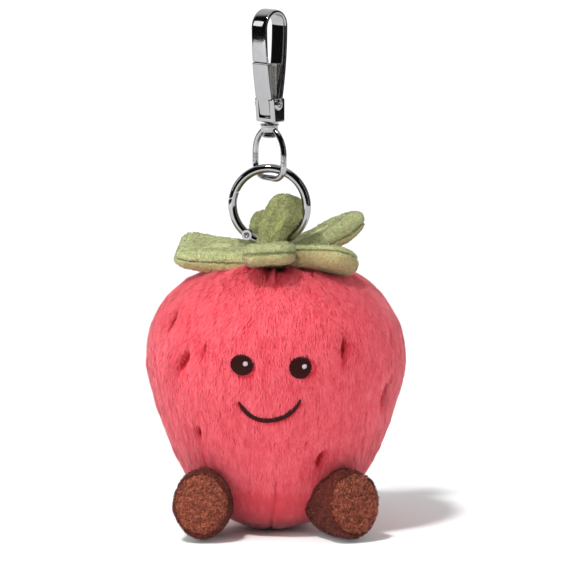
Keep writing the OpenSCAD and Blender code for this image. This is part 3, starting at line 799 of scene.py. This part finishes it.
LEAF_FIBRES = 12000
CAP_X = 1.15


def leaf(name, W, lower, material, fuzz_material):
    """A leaf's mesh with its fuzz."""
    verts, faces = closed_grid(W, flip=True)
    under = np.concatenate([lower[:, 1:-1].ravel(), lower[0, [0, -1]]])
    o = build(name, verts, faces, material, "plush", "leaf_fabric")
    add_attribute(o, "under", under)
    fuzz(name + "_fuzz", verts, faces, LEAF_FIBRES, 0.6, 0.3, 0.17, fuzz_material, "leaf_fabric", under)
    return o


def calyx():
    for i, (name, (at, size, bend, shape, painted_bounce_share, *materials)) in enumerate(LEAVES.items()):
        turn, root, z = at
        P, lower = pillow(*size, 40 + 7 * i, *shape)
        P = bend_leaf(P, size[0], *bend) + [root, 0, 0]
        W = turned(P, radians(turn)) + [CAP_X, 0, z]
        # the lower layer gets painted shade and warm bounce light by that share
        o = leaf(name, W, lower * painted_bounce_share, *materials)
        if name == "leaf_left":
            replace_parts(o, "calyx_top", "calyx_underside", "calyx_stuffing")


def cap_middle():
    """The cap's middle, which the leaves grow out of."""
    A, F = np.meshgrid(around(180), np.linspace(pi / 2, -pi / 2, 60), indexing="ij")
    R = 8.0 * np.cos(F) ** 0.6
    P = points(R * np.cos(A) + 1, R * np.sin(A), -87.0 + 2.4 * np.sin(F))
    P[..., 2] += 0.5 * noise(P, 5, 91)
    verts, faces = closed_grid(P, flip=True)
    o = build("cap_middle", verts, faces, LEAF, "plush", "leaf_fabric")
    add_attribute(o, "under", np.zeros(len(verts)))


def stem():
    """The upright leaf in front of the tape."""
    P, lower = pillow(24.5, 14.0, 6.4, 2.8, 101, 0.0, 0.36)
    m = Matrix.Translation((-1.0, -11.3, -84.5))
    for axis, turn in (("Z", 6), ("X", -24), ("Y", 25), ("Y", -90), ("X", 90)):
        m = m @ Matrix.Rotation(radians(turn), 4, axis)
    W = place(P, np.array(m))
    # the right edge leans back behind the ring
    W[..., 1] += 3.0 * smooth(5.5, 11.0, W[..., 0]) * smooth(-80, -74, W[..., 2])
    # and its lower right narrows towards the root
    W[..., 0] -= 3.4 * smooth(-69, -78, W[..., 2]) * smooth(-2, 8, W[..., 0])
    o = leaf("stem_leaf", W, lower * 0, STEM, STEM_FUZZ)
    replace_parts(o, "stem_cover", "stem_stuffing")


calyx()
cap_middle()
stem()


# ---- hanging tape

def line_normals(path):
    """Normals of a line of flat points, in its own plane."""
    t = unit(np.gradient(path, axis=0))
    return points(t[:, 1], -t[:, 0])


def tape():
    """A ribbed tape that goes round the ring's wire, with both legs down into the cap."""
    wire_r, half_width, thick, rib_pitch, sides = 2.55, 3.0, 0.62, 0.75, 40
    a = np.radians(np.linspace(-58, 238, 60))
    loop = wire_r * points(np.cos(a), np.sin(a))
    leg = np.linspace((0.5, -10.5), loop[0], 10)[:-1]
    path = np.concatenate([leg, loop, leg[::-1] * [-1, 1]])
    soften(path, 6)
    k = around(sides)
    w = power(np.cos(k), 0.35) * half_width
    h = power(np.sin(k), 0.6) * thick / 2 * (1 + 0.12 * np.cos(w * 2 * pi / rib_pitch))
    yz = path[:, None] + line_normals(path)[:, None] * h[None, :, None]
    P = points(w, yz[..., 0], yz[..., 1])
    verts = (turned(P, RING_YAW) + [0, 0, TAPE_Z]).reshape(-1, 3)
    j = np.arange(sides // 2)
    cap = points(j[:-1], j[1:], sides - 1 - j[1:], sides - 1 - j[:-1])
    caps = np.concatenate([cap, ((len(path) - 1) * sides + cap)[:, ::-1]])
    faces = [grid_faces(len(path), sides, wrap_v=True), caps]
    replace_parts(build("hanging_tape", verts, faces, TAPE, "plush", "red_tape"), "hang_loop")


tape()


# ---- hardware: shapes

HOOK_YAW, LOOP_YAW = radians(50), radians(-47)
HOOK_R, BAND_T, BAND_W, SIDE_R = 6.3, 1.7, 6.6, 124.0
BOW_Z = BAND_T - HOOK_R
TIP_Z, HOUSING_TOP, HOUSING_FOOT = -16.3, -29.5, -38.0
RIVET_X, RIVET_Z = -0.5, -31.5


def sweep(path, half_t, half_w, ends, power_t=3.2, power_w=7.0, sides=48):
    """A flat bar along a path in the x, z plane, with rounded edges and ends. Its half sizes may vary."""
    n = line_normals(path)
    s = arc_length(path)
    to_end = np.minimum(s, s[-1] - s)
    shrink = ends - np.sqrt(np.clip(ends**2 - np.clip(ends - to_end, 0, ends) ** 2, 0, None))
    k = around(sides)
    off = power(np.cos(k), 2 / power_t) * (half_t - shrink)[:, None]
    wide = power(np.sin(k), 2 / power_w) * (half_w - shrink)[:, None]
    P = points(path[:, None, 0] + n[:, None, 0] * off, wide, path[:, None, 1] + n[:, None, 1] * off)
    return skin(P, points(path[[0, -1], 0], 0, path[[0, -1], 1]))


def fine_line(line, step, ends):
    """Evenly spaced points along a line, close together near both ends."""
    s = arc_length(line)
    near = ends * (1 - np.cos(np.linspace(0, pi / 2, 6)))
    middle = np.linspace(ends, s[-1] - ends, max(3, int(s[-1] / step)))
    return resample(line, s, np.unique(np.concatenate([near, middle, s[-1] - near])))


def revolve(outline, nu=64):
    """A closed solid of revolution about z, from (radius, height) points that start and end on the axis."""
    k = around(nu)[:, None]
    r, z = outline.T
    return closed_grid(points(np.cos(k) * r, np.sin(k) * r, z), flip=z[0] > z[-1])


def cross_pin(outline, x, z, nu=64):
    """The same about a level axis, which runs front to back through x, z."""
    verts, faces = revolve(outline, nu)
    return points(verts[:, 0] + x, verts[:, 2], verts[:, 1] + z), [f[:, ::-1] for f in faces]


def mirrored(head):
    """A pin's whole outline from one head's."""
    return head + [(r, -y) for r, y in head[::-1]]


def rounded_outline(outline, radius, steps=5):
    """An outline with each inner corner cut to a small round."""
    o = np.asarray(outline, float)
    out = [o[0]]
    for a, b, c in zip(o[:-2], o[1:-1], o[2:]):
        to_a, to_c = np.linalg.norm(a - b), np.linalg.norm(c - b)
        r = min(radius, to_a * 0.45, to_c * 0.45)
        p, q = b + (a - b) / to_a * r, b + (c - b) / to_c * r
        for t in np.linspace(0, 1, steps):
            out.append((1 - t) ** 2 * p + 2 * t * (1 - t) * b + t * t * q)
    out.append(o[-1])
    return np.array(out)


def rounded_box(low, high, radius):
    """A box whose edges and corners are rounded."""
    mesh = bmesh.new()
    bmesh.ops.create_cube(mesh, size=1)
    for v in mesh.verts:
        v.co = [(a + b) / 2 + c * (b - a) for a, b, c in zip(low, high, v.co)]
    bmesh.ops.bevel(mesh, geom=mesh.edges[:], offset=radius, segments=5, profile=0.5, affect="EDGES")
    return mesh


def bm_object(name, bm, yaw):
    """An object from a bmesh in millimetres."""
    mesh = bpy.data.meshes.new(name)
    for v in bm.verts:
        v.co = Matrix.Rotation(yaw, 3, "Z") @ v.co * MM
    bm.to_mesh(mesh)
    bm.free()
    return link(name, mesh)


def cut(o, cutter):
    """Cuts o with another object, which is used up."""
    mod = o.modifiers.new("cut", "BOOLEAN")
    mod.operation, mod.solver, mod.object = "DIFFERENCE", "EXACT", cutter
    bpy.context.view_layer.update()
    mesh = bpy.data.meshes.new_from_object(o.evaluated_get(bpy.context.evaluated_depsgraph_get()))
    o.modifiers.clear()
    o.data = mesh
    bpy.data.objects.remove(cutter)


def slot_of(material):
    return "spring_steel" if material is STEEL else "gunmetal"


def metal_part(o, body, material, limit):
    """Gives a piece its metal and body, and smooth faces with the corners over that angle kept crisp."""
    o.data.materials.append(material)
    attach(o, body)
    bm = bmesh.new()
    bm.from_mesh(o.data)
    for e in bm.edges:
        e.smooth = len(e.link_faces) != 2 or e.calc_face_angle(0) < radians(limit)
    for f in bm.faces:
        f.smooth = True
    bm.to_mesh(o.data)
    bm.free()
    o.modifiers.new("shading", "WEIGHTED_NORMAL").keep_sharp = True


def plated(name, body, yaw, parts, node=None, material=GUNMETAL):
    """One metal piece from several (verts, faces), turned by yaw. It may stand for a CAD node."""
    verts, faces = join_parts(parts)
    o = build(name, turned(verts, yaw), faces, material, body, slot_of(material))
    if node:
        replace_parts(o, node)


# ---- hardware: hook

def side_x(z):
    """Outer face of the hook's left side, in the hook's own plane."""
    return -HOOK_R + (z - BOW_Z) ** 2 / (2 * SIDE_R)


def front_x(z):
    """Front of the hinge housing, which leans in like the band above it."""
    return -3.25 + 0.85 * (HOUSING_TOP - z) / (HOUSING_TOP - HOUSING_FOOT)


def hook_band():
    """The bent band: tip, bow and spine."""
    z_left = np.linspace(TIP_Z, BOW_Z, 40)
    left = points(side_x(z_left) + BAND_T / 2, z_left)
    a = np.linspace(pi, 0, 60)
    bow = (HOOK_R - BAND_T / 2) * points(np.cos(a), np.sin(a))[1:-1] + [0, BOW_Z]
    z_right = np.linspace(BOW_Z, HOUSING_TOP - 1.4, 50)
    right = points(-side_x(z_right) - BAND_T / 2, z_right)
    path = fine_line(np.concatenate([left, bow, right]), 0.15, 0.1)
    verts, faces = sweep(path, BAND_T / 2, BAND_W / 2, 0.06)
    # the tip is cut to its outer half, which laps over the gate's lip
    tip = (verts[:, 0] < 0) & (verts[:, 2] < TIP_Z + 1.75)
    verts[tip, 0] = np.minimum(verts[tip, 0], side_x(verts[tip, 2]) + BAND_T / 2)
    plated("hook_frame_plated", "hook", HOOK_YAW, [(verts, faces)], "hook_frame")


def hook_housing():
    """The hinge housing: a block with a slot for the gate's tongue."""
    box = rounded_box((-3.0, -4.3, HOUSING_FOOT), (3.4, 4.3, HOUSING_TOP), 0.55)
    for v in box.verts:
        if v.co.x < 0:
            v.co.x += 3.0 + front_x(v.co.z)
    block = bm_object("hook_housing_plated", box, HOOK_YAW)
    tongue_room = rounded_box((-6.0, -2.6, -36.5), (2.0, 2.6, HOUSING_TOP + 4), 0.3)
    cut(block, bm_object("slot", tongue_room, HOOK_YAW))
    metal_part(block, "hook", GUNMETAL, 35)


def hook_gate():
    """The gate: a plate that narrows to a tongue between the housing's cheeks, and its hinge eye."""
    tongue_top, tongue_foot = -30.2, -35.3
    z = np.concatenate([np.linspace(TIP_Z - 0.42, HOUSING_TOP + 0.4, 40),
                        np.linspace(HOUSING_TOP + 0.3, -30.0, 12), np.linspace(tongue_top, tongue_foot, 20)])
    plate_x = side_x(z) + BAND_T / 2
    ends_x = [front_x(tongue_foot) + 0.77, side_x(tongue_top) + BAND_T / 2]
    x = np.where(z > tongue_top, plate_x, np.interp(z, [tongue_foot, tongue_top], ends_x))
    half_t = BAND_T / 2 * np.interp(z, [tongue_foot, -31], [0.9, 1.0])
    half_w = np.interp(z, [-30.0, HOUSING_TOP + 0.15], [2.42, 3.5])
    z_lip = np.linspace(TIP_Z - 2.0, TIP_Z + 1.35, 20)
    lip = fine_line(points(side_x(z_lip) + BAND_T * 0.76, z_lip), 0.2, 0.12)
    parts = [sweep(points(x, z), half_t, half_w, 0.08), sweep(lip, BAND_T * 0.22, 3.2, 0.12, 4.5, 9)]
    plated("hook_gate_plated", "hook_gate_arm", HOOK_YAW, parts, "hook_gate")
    eye = rounded_outline([(0, -2.45), (2.2, -2.45), (2.2, 2.45), (0, 2.45)], 0.2)
    plated("hook_gate_eye", "hook_gate_arm", HOOK_YAW, [cross_pin(eye, RIVET_X, RIVET_Z)])


def hook_rivet():
    """The rivet, with a ring turned into each head."""
    head = [(0, 5.12), (0.55, 5.1), (0.62, 4.95), (0.85, 4.95), (0.95, 5.12), (1.5, 5.02), (1.95, 4.75),
            (2.1, 4.5), (2.1, 4.33), (1.0, 4.3)]
    pin = cross_pin(rounded_outline(mirrored(head), 0.12, 3), RIVET_X, RIVET_Z, 72)
    plated("hook_rivet_plated", "hook", HOOK_YAW, [pin], "hook_rivet")


def hook_spring():
    """A leaf spring with four pressed ribs, up the inside of the spine."""
    z = np.linspace(-17.6, -30.2, 40)
    back = np.minimum(-side_x(z) - BAND_T - 0.05, 1.95)
    parts = [tube(points(back - 0.3, -1.35 + 0.9 * i, z), 0.32, 12, (0, 1, 0)) for i in range(4)]
    parts.append(sweep(fine_line(points(back - 0.2, z), 0.6, 0.12), 0.14, 1.8, 0.1, 6, 8, 32))
    plated("hook_spring_ribbed", "hook", HOOK_YAW, parts, "hook_spring", STEEL)


# ---- hardware: swivel and ring

def arc(cx, cz, r, a0, a1):
    """Points along an arc in the x, z plane, between two angles in degrees."""
    a = np.radians(np.linspace(a0, a1, 24))
    return points(cx + r * np.cos(a), cz + r * np.sin(a))


def swivel():
    """The loop, whose oval top is three arcs set out on a 3-4-5 triangle, its boss, and the stud."""
    foot_z, half, high, corner, wire_r = -57.8, 7.2, 17.6, 4.5, 1.1
    u, mid_z, turn = (high - 2 * half) / 4, foot_z + high / 2, degrees(atan2(4, 3))
    loop = np.concatenate([
        arc(3 * u, mid_z, half + 3 * u, 180, 180 - turn),
        arc(0, mid_z + 4 * u, half - 2 * u, 180 - turn, turn)[1:],
        arc(-3 * u, mid_z, half + 3 * u, turn, 0)[1:],
        arc(half - corner, foot_z + corner, corner, 0, -90),
        arc(corner - half, foot_z + corner, corner, -90, -180),
    ])
    loop = np.vstack([loop, loop[:1]])
    s = arc_length(loop)
    line = resample(loop, s, np.linspace(0, s[-1], 170, endpoint=False))
    wire = tube(points(line[:, 0], 0, line[:, 1]), wire_r, 28, (0, 1, 0), closed=True)
    plated("swivel_loop_plated", "swivel", LOOP_YAW, [wire], "swivel_loop")
    boss = [(0, -41.85), (2.2, -41.85), (2.75, -41.5), (3.05, -40.6), (3.05, -39.6), (3.3, -39.3),
            (3.3, -38.55), (0, -38.5)]
    plated("swivel_boss_plated", "swivel", 0.0, [revolve(rounded_outline(boss, 0.25))])
    stud = [(0, -43.75), (1.6, -43.7), (2.5, -43.35), (2.55, -42.9), (2.1, -42.1), (1.2, -41.9),
            (1.2, -38.3), (1.9, -38.25), (1.9, -38.02), (1.25, -37.9), (1.2, -36.4), (1.9, -36.35),
            (1.9, -35.8), (0, -35.75)]
    plated("swivel_stud_plated", "hook", 0.0, [revolve(rounded_outline(stud, 0.12))], "swivel_stud")


def ring_pin():
    """The gate's hinge pin, with a ring turned into each head."""
    a = radians(233)
    at_x, at_z = RING_R * cos(a), RING_Z + RING_R * sin(a)
    head = [(0, 2.2), (0.28, 2.19), (0.36, 2.05), (0.55, 2.05), (0.64, 2.18), (0.86, 2.12), (1.0, 1.98),
            (1.0, 1.74), (0.5, 1.72)]
    pin = cross_pin(rounded_outline(mirrored(head), 0.06, 3), at_x, at_z, 48)
    plated("ring_pin_plated", "ring", RING_YAW, [pin], "ring_pin")


def from_cad(node, body, material):
    """A smooth-shaded copy of a CAD solid, which stands for it."""
    bm = bmesh.new()
    bm.from_mesh(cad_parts[node].data)
    bmesh.ops.remove_doubles(bm, verts=bm.verts, dist=2e-6)
    mesh = bpy.data.meshes.new(node + "_plated")
    bm.to_mesh(mesh)
    bm.free()
    o = link(node + "_plated", mesh)
    metal_part(o, body, material, 28)
    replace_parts(o, node)


hook_band()
hook_housing()
hook_gate()
hook_rivet()
hook_spring()
swivel()
ring_pin()
from_cad("ring_body", "ring", GUNMETAL)
from_cad("ring_gate", "ring_gate_arm", GUNMETAL)
from_cad("ring_plunger", "ring_gate_arm", STEEL)
from_cad("ring_spring", "ring_gate_arm", STEEL)


# ---- floor, light and camera

FLOOR_R = 0.92
MIDDLE = (0.002, 0, -0.12)


def floor():
    """A pale round table top. Beyond it, polished metal mirrors the dark room."""
    k = around(96)
    m = Surface("studio_floor", Roughness=0.9, Specular_IOR_Level=0.1)
    m.set("Base Color", m.mix(m.noise(m.where(), 0.004, 2), (0.91, 0.93, 0.93), (0.93, 0.95, 0.95)))
    mesh = bpy.data.meshes.new("floor")
    edge = points(FLOOR_R * np.cos(k), FLOOR_R * np.sin(k), SEAT_Z * MM)
    mesh.from_pydata(edge.tolist(), [], [range(len(k))])
    mesh.materials.append(m.material)
    link("floor", mesh)


floor()
scene = bpy.context.scene
scene.view_settings.view_transform = "Standard"
scene.world = bpy.data.worlds.new("studio")
scene.world.use_nodes = True
sky = Tree(scene.world.node_tree)
toward = sky.add("SeparateXYZ", {0: sky.add("TexCoord").outputs["Generated"]}).outputs


def grey_ramp(socket, *stops):
    return sky.ramp(socket, [(at, (v, v, v)) for at, v in stops])


# soft light on everything, brighter from above
soft = grey_ramp(toward["Z"], (0, 0.55), (0.35, 0.8), (0.6, 1))
# what polished metal mirrors: a dark room with a pale backdrop and a bright ceiling
ceiling = grey_ramp(toward["Z"], (0, 0.02), (0.84, 0.02), (0.92, 1.6), (1, 1.6))
backdrop = grey_ramp(toward["Y"], (0, 0), (0.2, 0), (0.45, 1.5), (1, 1.7))
room = sky.mix(1, ceiling, backdrop, "LIGHTEN")
ray = sky.add("LightPath").outputs
seen = sky.mix(ray["Is Camera Ray"], soft, (2.2, 2.2, 2.2))
background = sky.tree.nodes["Background"]
sky.feed(background.inputs["Color"], sky.mix(ray["Is Glossy Ray"], seen, room))
background.inputs["Strength"].default_value = 0.55


def aim(o, at, axis):
    """Puts an object at a place, with that axis towards the model."""
    o.location = at
    o.rotation_euler = (Vector(MIDDLE) - Vector(at)).to_track_quat(axis, "Y").to_euler()


def light(kind, name, at, energy, **settings):
    data = bpy.data.lights.new(name, kind)
    data.energy = energy
    for k, v in settings.items():
        setattr(data, k, v)
    o = link(name, data)
    aim(o, at, "-Z")
    o.visible_glossy = kind != "AREA"


def flag(name, at, width, height, shade):
    """A studio card that only polished surfaces mirror."""
    mesh = bpy.data.meshes.new(name)
    w, h = width / 2, height / 2
    mesh.from_pydata([(-w, -h, 0), (w, -h, 0), (w, h, 0), (-w, h, 0)], [], [(0, 1, 2, 3)])
    m = Surface(name, Roughness=1.0, Specular_IOR_Level=0.0, Base_Color=(0, 0, 0, 1),
                Emission_Color=(shade, shade, shade, 1), Emission_Strength=1.0)
    mesh.materials.append(m.material)
    o = link(name, mesh)
    aim(o, at, "Z")
    o.visible_camera = o.visible_diffuse = o.visible_shadow = o.visible_transmission = False


flag("left_panel", (-0.93, -0.12, 0.28), 0.17, 0.42, 2.2)
flag("right_panel", (0.8, -0.5, 0.2), 0.1, 0.8, 1.6)
light("SUN", "key", (-0.36, -0.56, 1.08), 2.3, angle=radians(7))
light("AREA", "left_box", (-0.9, -0.7, 0.25), 9, shape="RECTANGLE", size=0.7, size_y=1.0)
light("AREA", "right_strip", (0.9, -0.3, 0.2), 2.5, shape="RECTANGLE", size=0.25, size_y=1.0)

DISTANCE, LENS, ELEVATION = 3.312, 600.0, radians(9)
camera = link("camera", bpy.data.cameras.new("camera"))
camera.data.lens, camera.data.sensor_width = LENS, 36.0
camera.data.clip_end = 20
look = Vector((0, cos(ELEVATION), -sin(ELEVATION)))
camera.location = Vector((0.00504, 0, -0.0946)) - look * DISTANCE
camera.rotation_euler = look.to_track_quat("-Z", "Y").to_euler()
scene.camera = camera
